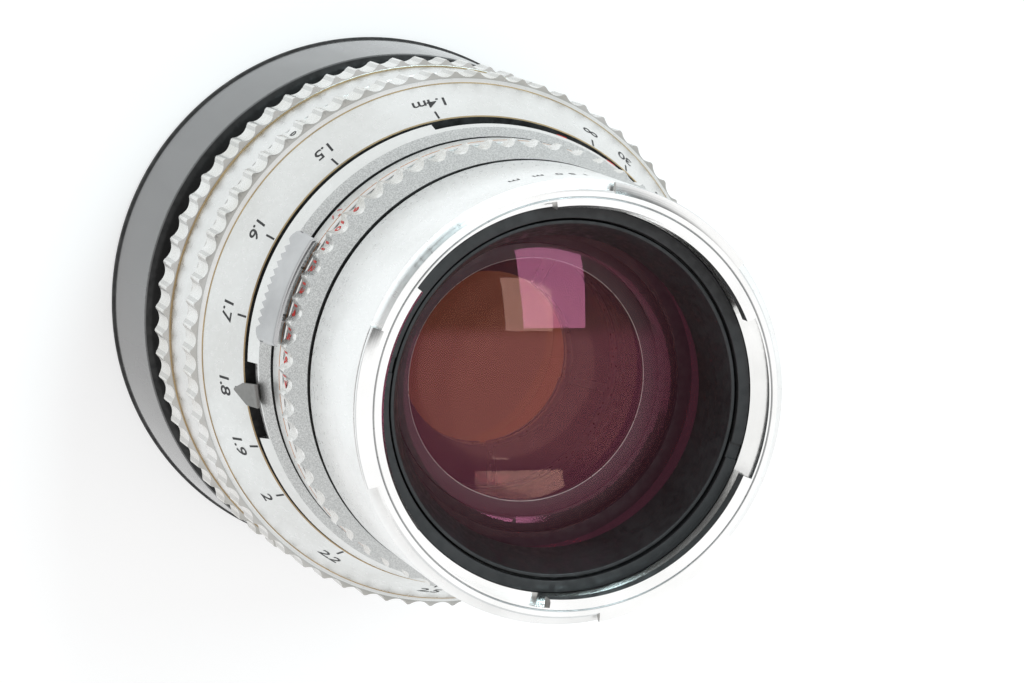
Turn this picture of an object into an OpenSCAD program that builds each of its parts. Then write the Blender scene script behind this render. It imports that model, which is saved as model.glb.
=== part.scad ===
// Leaf-shutter camera lens with its rear cap on, standing on the cap.
// Z is the optical axis and points out of the front. Z = 0 is the rear face of the cap.
// All heights are named z_..., all radii end in _r, and millimetres are used throughout.
// Angles are counted from the focusing index, counter-clockwise as seen from the front.

/* [Rear cap] */
// Radius of the cap at its rear rim
cap_r = 38.8; // [38.4:0.1:41]
// Radius of the cap at its front edge
cap_front_r = 37.8; // [37.2:0.1:38.2]
// Floor thickness of the cap
cap_floor = 3; // [2:0.5:4]

/* [Focusing ring] */
// Crest radius of the rear grip row
rear_crest_r = 38.17; // [38:0.01:38.4]
// Crest radius of the front grip row
front_crest_r = 37.8; // [37.6:0.1:38.1]
// Number of scoops in each grip row
grip_scoops = 72; // [60:4:80]
// Depth of a grip scoop
grip_depth = 0.75; // [0.5:0.05:0.8]
// Radius of the scale cone at its rear edge
scale_rear_r = 36.3; // [36.1:0.1:36.6]
// Radius of the scale cone at its front edge
scale_front_r = 32.57; // [32.4:0.01:32.8]

/* [Exposure rings] */
// Outer radius of the aperture ring
aperture_ring_r = 30.4; // [30.3:0.1:30.6]
// Crest radius of the shutter speed ring
speed_crest_r = 30.9; // [30.7:0.1:31.2]
// Number of scoops around the shutter speed ring
speed_scoops = 60; // [48:6:72]
// Depth of a scoop in the shutter speed ring
speed_depth = 0.8; // [0.5:0.1:0.9]

/* [Front] */
// Outer radius of the front barrel, and of the hood lugs
barrel_r = 28.8; // [28.6:0.1:29.2]
// Radius of the filter bayonet between its entry slots
filter_bore_r = 25.25; // [25.2:0.05:25.4]
// Radius of the front rim behind the hood lugs
rim_r = 27.65; // [27.4:0.05:27.8]

/* [Shutter and iris] */
// Number of blades in the shutter, and in the iris
blade_count = 5; // [5:1:5]
// Radius of the circle that the blade pivots stand on
blade_pitch_r = 22; // [21.8:0.1:22]
// Radius of the clear opening with the blades parked
blade_open_r = 12; // [11.6:0.2:13]
// Angle that an iris blade swings through
iris_swing = 45; // [30:5:45]
// Angle that the aperture ring turns through
aperture_turn = 56; // [50:1:58]

/* [Hidden] */

round_fn = 96;          // fineness of turned parts
hole_fn = 32;           // fineness of small holes, pins and scoops
index_angle = -90;      // where the focusing index faces
slack = 0.06;           // running clearance of turning rings on their seat
fixed_gap = 0.02;       // gap between pieces that are fixed to one another
cut = 0.1;              // overshoot of a cutter past the face it leaves

// heights, from the rear face of the cap to the front rim
z_bayonet = 12;
z_flange = 19.4;
z_barrel_base = 21;
z_carrier = 23;
z_grip = 26.7;
z_rear_crest_end = 32;
z_front_grip = 32.8;
z_front_crest = 42.5;
z_front_crest_end = 47.7;
z_barrel_end = 48.4;
z_scale = 48.95;
z_web = 49.7;
z_rear_cell = 53.8;
z_housing = 55.3;
z_scale_end = 57.5;
z_index = 58.7;
z_index_end = 63.6;
z_aperture = 64.9;
z_aperture_end = 69.4;
z_speed = 69.5;
z_speed_crest_end = 72.2;
z_speed_end = 77.1;
z_front_barrel = 78.3;
z_seat_end = 80;
z_front_cell = 84.6;
z_name_ring = 96.2;
z_rim = 99.5;
z_front = 101.4;

// radii shared by pieces that meet
bayonet_r = 29.5;
opening_r = 20.2;       // opening of the mount for the rear light baffle
sleeve_r = 34.68;       // bore of the focusing sleeve, on the fixed barrel
barrel_bore_r = 32.78;  // bore of the fixed barrel, on the sliding carrier
carrier_r = 32.7;
neck_r = 30.5;
core_r = 35.9;          // seat of the grip rings on the focusing sleeve
seat_r = 27.4;          // tube that the exposure rings turn on
drum_r = 26;            // bore that holds the shutter
groove_in_r = 28;
groove_out_r = 31.45;   // groove of the depth-of-field rings
front_bore_r = 26.2;

// angles from the focusing index
key_angles = [60, 240];
tab_angle = 97.5;
tab_sweep = 28;
flag_angle = 125;
sync_angle = -101;
socket_angle = -121;
window_half = 40.6;     // half the width of the depth-of-field window
dof_rest = 7;           // each depth pointer's angle from the index, fully open
hood_lug_angle = -3;
filter_slot_angle = 58;
grip_ridge_angle = 88.5;
speed_ridge_angle = 98.6;

// small hardware
screw_pitch_r = 31.4;
shaft_pitch_r = 23.8;
shaft_r = 1.6;
stud_r = 0.7;
pin_r = 0.45;
pin_arm = 3;            // distance of a blade's drive pin from its pivot
blade_step = 0.4;
blade_t = 0.3;
z_shutter_ring = 57;
z_shutter_blades = 58.5;
z_partition = 60.7;
z_partition_end = 61.9;
z_iris_blades = 62.2;
z_iris_ring = 64.6;
drive_ring_t = 1.2;
z_link = 65.4;

// ---- helpers -------------------------------------------------------------

// turns its children to an angle counted from the focusing index
module at_angle(a) rotate([0, 0, index_angle + a]) children();

// a solid of revolution from [radius, height] points
module turned(points) rotate_extrude($fn = round_fn) polygon(points);

// a plain ring
module tube(r_in, r_out, z0, z1) {
    turned([[r_in, z0], [r_out, z0], [r_out, z1], [r_in, z1]]);
}

// part of a ring, centred on an angle from the index
module sector(r_in, r_out, z0, z1, centre, sweep) {
    at_angle(centre - sweep / 2)
        rotate_extrude(angle = sweep, $fn = round_fn)
            translate([r_in, z0]) square([r_out - r_in, z1 - z0]);
}

// a round bar that points outwards from the axis
module radial_bar(r, r_in, r_out, z, a) {
    at_angle(a) translate([r_in, 0, z]) rotate([0, 90, 0])
        cylinder(r = r, h = r_out - r_in, $fn = hole_fn);
}

// radius of the cutter that leaves almost sharp ridges between scoops
function scoop_radius(crest_r, count, depth) =
    let (half = 0.93 * PI * crest_r / count) (half * half + depth * depth) / (2 * depth);

// a row of axial scoops, to be taken out of a ring; a ridge stands at ridge_angle
module scoops(crest_r, count, depth, z0, z1, ridge_angle) {
    r = scoop_radius(crest_r, count, depth);
    for (i = [0 : count - 1])
        at_angle(ridge_angle + (i + 0.5) * 360 / count)
            translate([crest_r - depth + r, 0, z0])
                cylinder(r = r, h = z1 - z0, $fn = hole_fn);
}

// a glass element; a positive curve bulges out of the glass, a negative one is hollow, 0 is flat
module glass_element(r, front_z, front_curve, rear_z, rear_curve) {
    far = 200;
    z0 = rear_curve < 0 ? rear_z - r * r / (-1.9 * rear_curve) : rear_z;
    z1 = front_curve < 0 ? front_z + r * r / (-1.9 * front_curve) : front_z;
    difference() {
        intersection() {
            translate([0, 0, z0]) cylinder(r = r, h = z1 - z0, $fn = round_fn);
            if (front_curve > 0)
                translate([0, 0, front_z - front_curve]) sphere(r = front_curve, $fn = far);
            if (rear_curve > 0)
                translate([0, 0, rear_z + rear_curve]) sphere(r = rear_curve, $fn = far);
        }
        if (front_curve < 0)
            translate([0, 0, front_z - front_curve]) sphere(r = -front_curve, $fn = far);
        if (rear_curve < 0)
            translate([0, 0, rear_z + rear_curve]) sphere(r = -rear_curve, $fn = far);
    }
}

// ---- rear cap and mount --------------------------------------------------

lug_count = 4;
lug_sweep = 36;

module rear_cap() {
    rim_round = 0.6;
    rim_band = 1.6;
    wall_r = 33;
    lip_r = 36.9;
    lip_drop = 0.55;
    color("dimgray") {
        difference() {
            turned([
                [0, 0], [cap_r - rim_round, 0], [cap_r, rim_round], [cap_r, rim_band],
                [cap_r - 0.3, rim_band + 0.3], [cap_front_r, z_flange - lip_drop],
                [lip_r, z_flange], [wall_r, z_flange], [wall_r, cap_floor], [0, cap_floor]
            ]);
            // shallow dish in the rear face
            translate([0, 0, -cut]) cylinder(r = 30, h = cut + 0.5, $fn = round_fn);
            // mould notch in the front edge
            at_angle(48) translate([cap_front_r, 0, z_flange])
                cylinder(r = 0.5, h = 3, center = true, $fn = hole_fn);
        }
        // lugs that pass between the lens's own bayonet lugs
        for (i = [0 : lug_count - 1])
            sector(bayonet_r + 0.5, wall_r + cut, z_bayonet + 2.4, z_bayonet + 4.2,
                (i + 0.5) * 360 / lug_count, 30);
    }
}

module bayonet_flange() {
    color("silver") difference() {
        union() {
            tube(opening_r, 34.4, z_flange, z_barrel_base);
            tube(bayonet_r - 2, bayonet_r, z_bayonet, z_flange + cut);
            for (i = [0 : lug_count - 1])
                sector(bayonet_r - 0.5, bayonet_r + 1.8, z_bayonet + 0.3, z_bayonet + 2.1,
                    i * 360 / lug_count, lug_sweep);
        }
        flange_screw_places() {
            translate([0, 0, z_flange - cut]) cylinder(r = 1.45, h = cut + 0.8, $fn = hole_fn);
            translate([0, 0, z_flange]) cylinder(r = 0.8, h = 4, $fn = hole_fn);
        }
        at_angle(180) translate([shaft_pitch_r, 0, z_flange - cut])
            cylinder(r = 2.6, h = 3, $fn = hole_fn);
    }
}

module flange_screw_places() {
    for (a = [30 : 72 : 318])
        at_angle(a) translate([screw_pitch_r, 0, 0]) children();
}

module flange_screws() {
    color("gainsboro") flange_screw_places() difference() {
        union() {
            translate([0, 0, z_flange + 0.05]) cylinder(r = 1.4, h = 0.75, $fn = hole_fn);
            translate([0, 0, z_flange + 0.5]) cylinder(r = 0.75, h = 2.4, $fn = hole_fn);
        }
        translate([-1.5, -0.15, z_flange - cut]) cube([3, 0.3, 0.5]);
    }
}

module rear_baffle() {
    color("black") turned([
        [18.9, 13.4], [19.5, 13.4], [opening_r, z_flange], [opening_r, z_barrel_base],
        [19.5, z_barrel_base]
    ]);
}

module cocking_bush() {
    color("goldenrod") at_angle(180) translate([shaft_pitch_r, 0, z_flange - 0.6]) difference() {
        cylinder(r = 2.6, h = 2.8, $fn = hole_fn);
        translate([0, 0, -cut]) cylinder(r = shaft_r + slack, h = 3, $fn = hole_fn);
    }
}

module cocking_shaft() {
    z_tip = 17.6;
    z_collar = 21.7;
    color("gray") at_angle(180) translate([shaft_pitch_r, 0, 0]) difference() {
        union() {
            translate([0, 0, z_tip]) cylinder(r = shaft_r, h = z_collar - z_tip + cut, $fn = hole_fn);
            translate([0, 0, z_collar]) cylinder(r = 2.4, h = 0.7, $fn = hole_fn);
            translate([0, 0, z_collar + 0.6]) cylinder(r = 1, h = 27, $fn = hole_fn);
        }
        translate([-2, -0.35, z_tip - cut]) cube([4, 0.7, 1.1]);
    }
}

module key_blocks(width, r_in, r_out, z0, z1) {
    for (a = key_angles)
        at_angle(a) translate([r_in, -width / 2, z0]) cube([r_out - r_in, width, z1 - z0]);
}

key_r = 34.2;
z_key = 42;

module fixed_barrel() {
    color([0.12, 0.12, 0.12]) difference() {
        turned([
            [27.6, z_barrel_base], [34.6, z_barrel_base], [34.6, z_barrel_end],
            [barrel_bore_r, z_barrel_end], [barrel_bore_r, z_carrier - 0.2],
            [27.6, z_carrier - 0.2]
        ]);
        flange_screw_places()
            translate([0, 0, z_barrel_base - cut]) cylinder(r = 0.8, h = 3, $fn = hole_fn);
        key_blocks(4, carrier_r - 1, key_r, z_key, z_barrel_end - 0.4);
    }
}

module helicoid_keys() {
    color("goldenrod") key_blocks(4, 31.3, key_r, z_key, z_barrel_end - 0.4);
}

// ---- focusing ------------------------------------------------------------

module focus_carrier() {
    color([0.15, 0.15, 0.15]) difference() {
        turned([
            [30.2, z_carrier], [carrier_r, z_carrier], [carrier_r, z_web - 0.2],
            [neck_r, z_web - 0.2], [neck_r, z_index], [seat_r, z_index], [seat_r, z_seat_end],
            [drum_r, z_seat_end], [drum_r, z_rear_cell - 1.8], [30.2, z_rear_cell - 3.8]
        ]);
        // keyways, open at the rear
        key_blocks(4.2, 31.2, 34, z_carrier - cut, z_barrel_end);
        // passage of the aperture link
        sector(drum_r - 1, seat_r + 1, z_link - 0.9, z_link + 0.9,
            tab_angle - aperture_turn / 2, aperture_turn + 6);
    }
}

function cone_r(z) =
    scale_rear_r + (scale_front_r - scale_rear_r) * (z - z_scale) / (z_scale_end - z_scale);

scale_t = 1;            // wall of the distance scale ring
z_scale_lip = 57.1;

module focus_sleeve() {
    color([0.2, 0.2, 0.2]) turned([
        [sleeve_r, z_grip + 0.3], [core_r, z_grip + 0.3], [core_r, z_scale],
        [cone_r(z_scale) - scale_t, z_scale], [cone_r(z_scale_lip) - scale_t, z_scale_lip],
        [neck_r + slack, z_scale_lip], [neck_r + slack, z_web], [sleeve_r, z_web]
    ]);
}

module rear_grip_ring() {
    color("whitesmoke") difference() {
        turned([
            [core_r, z_grip], [rear_crest_r - 0.4, z_grip], [rear_crest_r, z_grip + 0.4],
            [rear_crest_r, z_rear_crest_end], [37.4, z_front_grip], [core_r, z_front_grip]
        ]);
        scoops(rear_crest_r, grip_scoops, grip_depth, z_grip - cut, z_front_grip + cut,
            grip_ridge_angle);
    }
}

grip_band_r = 37.15;    // plain band between the two grip rows
screw_angle = 66;       // grip screws sit at the bottom of a scoop

module front_grip_ring() {
    color("whitesmoke") difference() {
        turned([
            [core_r, z_front_grip], [grip_band_r, z_front_grip],
            [grip_band_r - 0.12, z_front_crest - 0.4], [front_crest_r, z_front_crest],
            [front_crest_r, z_front_crest_end], [36.9, z_front_crest_end + 0.5],
            [scale_rear_r + 0.05, z_scale], [core_r, z_scale]
        ]);
        scoops(front_crest_r, grip_scoops, grip_depth, z_front_crest - 1, z_scale + cut,
            grip_ridge_angle);
        for (i = [0 : 2])
            radial_bar(0.8, core_r - cut, 39, 45.2, screw_angle + i * 120);
    }
}

module grip_screws() {
    color("gray") for (i = [0 : 2]) difference() {
        radial_bar(0.78, core_r, front_crest_r - grip_depth - 0.15, 45.2, screw_angle + i * 120);
        at_angle(screw_angle + i * 120)
            translate([36.6, -1, 45.08]) cube([1, 2, 0.24]);
    }
}

module distance_scale_ring() {
    color("gainsboro") turned([
        [cone_r(z_scale) - scale_t, z_scale], [scale_rear_r, z_scale],
        [scale_front_r, z_scale_end], [neck_r + slack, z_scale_end],
        [neck_r + slack, z_scale_lip], [cone_r(z_scale_lip) - scale_t, z_scale_lip]
    ]);
}

// ---- index ring with its pointers, levers and flash socket ----------------

z_groove_step = 60.3;
z_groove_end = 61.1;
z_socket = 61.15;

module index_ring() {
    color("gainsboro") difference() {
        union() {
            turned([
                [seat_r + fixed_gap, z_index], [groove_in_r, z_index],
                [groove_in_r, z_groove_end],
                [31.1, z_groove_end], [31.1, z_groove_step], [groove_out_r, z_groove_step],
                [groove_out_r, z_index], [32.4, z_index], [31.5, 61.4], [30.4, z_index_end],
                [seat_r + fixed_gap, z_index_end]
            ]);
            radial_bar(2.3, groove_out_r, 33.8, z_socket, socket_angle);
        }
        // window over the depth-of-field pointers
        sector(31, 33, z_index - cut, z_groove_step, 0, 2 * window_half);
        // slot of the stop-down lever
        sector(30.9, 33, z_index - cut, z_groove_end, flag_angle + 2.5, 19);
        // pocket of the sync lever, open at the front
        sector(29.4, 33, 61.5, z_index_end + cut, sync_angle + 8, 26);
    }
}

module dof_ring(z, pointer_angle) {
    t = 0.65;
    tube(groove_in_r + 0.1, groove_out_r - 0.1, z, z + t);
    sector(groove_out_r - 0.3, 31.95, z, z + t, pointer_angle, 2.4);
}

module dof_ring_near() {
    color("silver") dof_ring(z_index + 0.1, dof_rest);
}

module dof_ring_far() {
    color("silver") dof_ring(z_index + 0.85, -dof_rest);
}

module stop_down_ring() {
    color("gray") tube(groove_in_r + 0.1, 31, z_groove_step + 0.1, z_groove_end - 0.1);
}

// a pointed plate that lies over the focusing scale, on a foot from the ring in the groove
module stop_down_lever() {
    z_tip = 56.4;
    z_back = 62.3;
    t = 0.5;
    color("gray") {
        intersection() {
            turned([[34 - t, z_tip], [34, z_tip], [32.4, z_back], [32.4 - t, z_back]]);
            at_angle(flag_angle) rotate([90, 0, 90]) linear_extrude(height = 40)
                polygon([[-0.2, z_tip], [1.9, 59.4], [2.0, z_back], [-1.4, z_back], [-1.2, 59]]);
        }
        sector(31, 32.3, z_groove_step + 0.15, z_groove_end - 0.15, flag_angle, 4);
    }
}

module sync_lever() {
    color("whitesmoke") {
        sector(29.5, 32.6, 61.7, 63.1, sync_angle, 5);
        sector(32.5, 34.6, 61.7, 63.1, sync_angle, 3);
    }
}

module flash_socket() {
    color("silver") difference() {
        radial_bar(1.9, 33.8, 37, z_socket, socket_angle);
        radial_bar(1.45, 34, 37 + cut, z_socket, socket_angle);
    }
}

module flash_insulator() {
    color("white") difference() {
        radial_bar(1.43, 34, 34.9, z_socket, socket_angle);
        radial_bar(0.42, 34 - cut, 35, z_socket, socket_angle);
    }
}

module flash_pin() {
    color("gold") radial_bar(0.4, 34, 36.2, z_socket, socket_angle);
}

// ---- aperture ring -------------------------------------------------------

post_r = 0.9;
post_offset = 4;        // of each parallel post of the tab from its middle
z_post = 67;

// bars on which the tab slides in and out
module post_bars(r, x_in, x_out) {
    for (y = [-post_offset, post_offset])
        at_angle(tab_angle) translate([x_in, y, z_post]) rotate([0, 90, 0])
            cylinder(r = r, h = x_out - x_in, $fn = hole_fn);
}

module aperture_ring() {
    color("gainsboro") difference() {
        turned([
            [seat_r + slack, z_index_end + 0.2], [28.9, z_index_end + 0.2], [28.9, z_aperture],
            [aperture_ring_r, z_aperture], [aperture_ring_r, z_aperture_end],
            [seat_r + slack, z_aperture_end]
        ]);
        post_bars(post_r + slack, 27.6, 32);
        radial_bar(link_r + fixed_gap, seat_r - cut, 28, z_link, tab_angle);
    }
}

// thumb tab that is pressed in to free the aperture ring from the speed ring
module ev_tab() {
    z_rear = 63.6;
    z_tab_front = 69;
    under_r = 31.1;
    teeth = 7;
    color("silver") difference() {
        union() {
            at_angle(tab_angle - tab_sweep / 2)
                rotate_extrude(angle = tab_sweep, $fn = round_fn) polygon([
                    [under_r, z_rear], [32.85, z_rear], [33.0, z_rear + 0.3],
                    [31.6, z_tab_front], [under_r, z_tab_front]
                ]);
            post_bars(post_r, 28.3, under_r + 0.3);
        }
        for (i = [0 : teeth - 1])
            at_angle(tab_angle + (i - (teeth - 1) / 2) * tab_sweep / teeth)
                translate([under_r + 0.5, 0, z_rear]) rotate([0, 90, 0])
                    cylinder(r = 0.95, h = 3, $fn = 4);
    }
}

link_r = 0.55;

module aperture_link() {
    color("gray") radial_bar(link_r, 23.4, 27.95, z_link, tab_angle);
}

// place of a blade's drive pin, for a blade swung by b, seen from the blade's own pivot angle
function pin_angle(b) = atan2(-pin_arm * sin(b), blade_pitch_r - pin_arm * cos(b));
function pin_radius(b) =
    norm([blade_pitch_r - pin_arm * cos(b), pin_arm * sin(b)]);

// cam slot that swings a blade by b_end while the ring turns back by turn
module cam_slot(b_end, turn, half_w) {
    steps = 12;
    path = [for (i = [0 : steps]) let (b = b_end * i / steps)
        [pin_radius(b), pin_angle(b) + turn * i / steps]];
    outer = [for (p = path) (p[0] + half_w) * [cos(p[1]), sin(p[1])]];
    inner = [for (i = [steps : -1 : 0]) (path[i][0] - half_w) * [cos(path[i][1]), sin(path[i][1])]];
    polygon(concat(outer, inner));
    for (p = [path[0], path[steps]])
        translate(p[0] * [cos(p[1]), sin(p[1])]) circle(r = half_w, $fn = hole_fn);
}

module aperture_drive_ring() {
    color("gray") difference() {
        tube(17.2, 24.2, z_iris_ring, z_iris_ring + drive_ring_t + 0.4);
        for (i = [0 : blade_count - 1])
            at_angle(i * 360 / blade_count) translate([0, 0, z_iris_ring - cut])
                linear_extrude(height = 2)
                    cam_slot(iris_swing, aperture_turn, pin_r + 0.12);
        radial_bar(link_r + fixed_gap, 23.3, 24.3, z_link, tab_angle);
    }
}

// ---- shutter -------------------------------------------------------------

module shutter_speed_ring() {
    color("whitesmoke") difference() {
        turned([
            [seat_r + slack, z_speed], [speed_crest_r, z_speed],
            [speed_crest_r, z_speed_crest_end], [barrel_r, z_speed_end],
            [seat_r + slack, z_speed_end]
        ]);
        scoops(speed_crest_r, speed_scoops, speed_depth, z_speed - cut, z_speed_end + cut,
            speed_ridge_angle);
    }
}

module shutter_housing() {
    wall_r = 24.6;
    color([0.1, 0.1, 0.1]) difference() {
        turned([
            [14.5, z_housing], [drum_r - 0.05, z_housing], [drum_r - 0.05, 68], [wall_r, 68],
            [wall_r, z_partition_end], [wall_r - 1, z_partition_end - 0.4],
            [wall_r - 1, z_partition], [wall_r, z_partition], [wall_r, z_housing + 1.4],
            [14.5, z_housing + 1.4]
        ]);
        sector(wall_r - 1, drum_r + 1, z_link - 0.9, z_link + 0.9,
            tab_angle - aperture_turn / 2, aperture_turn + 6);
    }
}

module housing_cover() {
    color([0.1, 0.1, 0.1]) tube(17, drum_r - 0.05, 68, 69.5);
}

module blade_partition() {
    z_shutter_stud = z_shutter_ring + drive_ring_t + 0.1;
    z_iris_stud = z_iris_ring - 0.1;
    color("dimgray") {
        tube(blade_open_r, 23.55, z_partition, z_partition_end - 0.4);
        for (i = [0 : blade_count - 1])
            at_angle(i * 360 / blade_count) translate([blade_pitch_r, 0, z_shutter_stud])
                cylinder(r = stud_r, h = z_iris_stud - z_shutter_stud, $fn = hole_fn);
    }
}

module shutter_drive_ring() {
    slot_half = 0.8;
    color("gray") difference() {
        tube(16.5, 24.2, z_shutter_ring, z_shutter_ring + drive_ring_t);
        for (i = [0 : blade_count - 1])
            at_angle(i * 360 / blade_count) translate([18, -slot_half, z_shutter_ring - cut])
                cube([3.4, 2 * slot_half, 2]);
    }
}

// a thin swinging blade on its pivot, with a drive pin that reaches to pin_z
module blade(i, z, pin_z) {
    tip = 65;
    root = -3;
    lobe_r = 2.2;
    reach = 30;
    blade_z = z + i * blade_step;
    at_angle(i * 360 / blade_count) {
        translate([0, 0, blade_z]) linear_extrude(height = blade_t) difference() {
            union() {
                translate([blade_pitch_r, 0]) circle(r = lobe_r, $fn = hole_fn);
                intersection() {
                    difference() {
                        circle(r = blade_pitch_r - stud_r - 0.4, $fn = round_fn);
                        circle(r = blade_open_r, $fn = round_fn);
                    }
                    polygon([[0, 0], reach * [cos(root), sin(root)],
                        reach * 1.4 * [cos(tip / 2), sin(tip / 2)], reach * [cos(tip), sin(tip)]]);
                }
            }
            translate([blade_pitch_r, 0]) circle(r = stud_r + slack, $fn = hole_fn);
        }
        translate([blade_pitch_r - pin_arm, 0, min(pin_z, blade_z + cut)])
            cylinder(r = pin_r, h = abs(pin_z - blade_z - cut), $fn = hole_fn);
    }
}

module shutter_blade(i) color([0.25, 0.25, 0.27]) blade(i, z_shutter_blades, z_shutter_ring + 0.2);
module iris_blade(i) color([0.2, 0.2, 0.2]) blade(i, z_iris_blades, z_iris_ring + 1.2);

// ---- front barrel and bayonet ---------------------------------------------

module front_barrel() {
    color("gainsboro") turned([
        [seat_r + fixed_gap, z_front_barrel], [barrel_r, z_front_barrel], [barrel_r, z_rim],
        [26.9, z_rim], [26.9, z_name_ring], [front_bore_r, z_name_ring],
        [front_bore_r, z_seat_end + fixed_gap], [seat_r + fixed_gap, z_seat_end + fixed_gap]
    ]);
}

module filter_bayonet() {
    z_undercut = 97.55;
    z_lip = 99.2;
    undercut_r = 26.2;
    line_r = 26.65;
    color("silver") difference() {
        union() {
            turned([
                [25.15, z_name_ring + 0.05], [26.85, z_name_ring + 0.05], [26.85, z_rim],
                [rim_r, z_rim], [rim_r, z_front - 0.3], [rim_r - 0.3, z_front],
                [line_r + 0.12, z_front], [line_r, z_front - 0.2], [line_r - 0.12, z_front],
                [filter_bore_r + 0.35, z_front], [filter_bore_r, z_front - 0.35],
                [filter_bore_r, z_lip], [undercut_r, z_lip], [undercut_r, z_undercut],
                [25.15, z_undercut]
            ]);
            // lugs of the hood bayonet, with a sloping front
            for (i = [0 : 2])
                at_angle(hood_lug_angle + i * 120 - 21)
                    rotate_extrude(angle = 42, $fn = round_fn) polygon([
                        [rim_r - 0.5, 100.1], [barrel_r, 100.1], [barrel_r, 100.6],
                        [rim_r + 0.1, 101.2], [rim_r - 0.5, 101.2]
                    ]);
        }
        // entry slots of the filter bayonet
        for (i = [0 : 2])
            sector(filter_bore_r - 1, undercut_r + 0.12, z_lip - cut, z_front + cut,
                filter_slot_angle + i * 120, 47);
    }
}

// ---- optics --------------------------------------------------------------

module front_cell() {
    color([0.08, 0.08, 0.08]) turned([
        [19.6, z_front_cell], [26.1, z_front_cell], [26.1, z_name_ring - 0.05],
        [23.3, z_name_ring - 0.05], [23.3, 90], [21.5, 90], [21.5, 85.3], [19.6, 85.3]
    ]);
}

module front_element() {
    color([0.45, 0.25, 0.45, 0.6]) glass_element(21.4, 94.5, 55, 84.6, 250);
}

module front_glass_retainer() {
    color([0.15, 0.15, 0.15]) turned([
        [20.5, 90.7], [23.2, 90.7], [23.2, 97], [22.75, 97]
    ]);
}

module front_name_ring() {
    color([0.1, 0.1, 0.1]) difference() {
        turned([[23.5, z_name_ring], [25.1, z_name_ring], [25.1, 97.5], [23.5, 97.5]]);
        // two spanner notches
        for (a = [105, 280])
            sector(23.3, 25.3, 97.1, 97.6, a, 4.5);
    }
}

module middle_cell() {
    color([0.08, 0.08, 0.08]) turned([
        [17, 69.5], [drum_r - 0.05, 69.5], [drum_r - 0.05, 71.3], [20.5, 71.3], [20.5, 81],
        [18.3, 81], [18.3, 72.4], [17, 72.4]
    ]);
}

module second_element() {
    color([0.5, 0.35, 0.5, 0.6]) glass_element(18.2, 83.2, 42, 75.5, 70);
}

module third_element() {
    color([0.5, 0.35, 0.5, 0.6]) glass_element(18.2, 75.5, -70, 72.45, 0);
}

module middle_retaining_ring() {
    color([0.12, 0.12, 0.12]) tube(16.2, 18.25, 80.1, 81);
}

module rear_cell() {
    color([0.08, 0.08, 0.08]) turned([
        [15.4, 51], [15.4, z_housing - 0.05], [drum_r - 0.05, z_housing - 0.05],
        [drum_r - 0.05, z_rear_cell], [18.5, z_rear_cell], [18.5, 36], [16.6, 36], [16.6, 51]
    ]);
}

module fourth_element() {
    color([0.4, 0.5, 0.5, 0.6]) glass_element(16.5, 47.8, -45, 45.5, -40);
}

module fifth_element() {
    color([0.4, 0.5, 0.5, 0.6]) glass_element(16.5, 45.5, 40, 37.2, 90);
}

module rear_retaining_ring() {
    color([0.12, 0.12, 0.12]) tube(14.9, 16.55, 36.8, 38.3);
}

rear_cap();
bayonet_flange();
flange_screws();
rear_baffle();
cocking_bush();
cocking_shaft();
fixed_barrel();
helicoid_keys();
focus_carrier();
focus_sleeve();
rear_grip_ring();
front_grip_ring();
distance_scale_ring();
grip_screws();
index_ring();
dof_ring_near();
dof_ring_far();
stop_down_ring();
stop_down_lever();
sync_lever();
flash_socket();
flash_insulator();
flash_pin();
aperture_ring();
ev_tab();
aperture_link();
aperture_drive_ring();
shutter_speed_ring();
shutter_housing();
housing_cover();
blade_partition();
shutter_drive_ring();
shutter_blade(0);  // shutter_blade_1
shutter_blade(1);  // shutter_blade_2
shutter_blade(2);  // shutter_blade_3
shutter_blade(3);  // shutter_blade_4
shutter_blade(4);  // shutter_blade_5
iris_blade(0);  // iris_blade_1
iris_blade(1);  // iris_blade_2
iris_blade(2);  // iris_blade_3
iris_blade(3);  // iris_blade_4
iris_blade(4);  // iris_blade_5
front_barrel();
filter_bayonet();
front_cell();
front_element();
front_glass_retainer();
front_name_ring();
middle_cell();
second_element();
third_element();
middle_retaining_ring();
rear_cell();
fourth_element();
fifth_element();
rear_retaining_ring();
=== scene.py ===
import math

import bpy
import bmesh
from mathutils import Matrix, Vector


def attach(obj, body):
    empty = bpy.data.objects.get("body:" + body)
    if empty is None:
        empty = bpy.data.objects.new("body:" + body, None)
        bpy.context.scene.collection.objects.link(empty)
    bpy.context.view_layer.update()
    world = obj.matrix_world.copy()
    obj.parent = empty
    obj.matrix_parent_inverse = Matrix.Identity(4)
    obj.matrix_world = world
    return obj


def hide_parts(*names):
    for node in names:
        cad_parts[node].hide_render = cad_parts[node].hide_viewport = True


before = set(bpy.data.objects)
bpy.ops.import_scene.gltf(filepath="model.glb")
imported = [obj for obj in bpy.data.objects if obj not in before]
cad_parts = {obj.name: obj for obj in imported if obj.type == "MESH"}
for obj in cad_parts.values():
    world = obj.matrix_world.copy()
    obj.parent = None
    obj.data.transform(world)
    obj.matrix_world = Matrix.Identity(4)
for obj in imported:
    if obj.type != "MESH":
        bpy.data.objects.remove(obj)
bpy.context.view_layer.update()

MM = 0.001
INDEX = -90.0   # direction of the focusing index; all angles below are counted from it


# ---- camera ---------------------------------------------------------------

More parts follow.
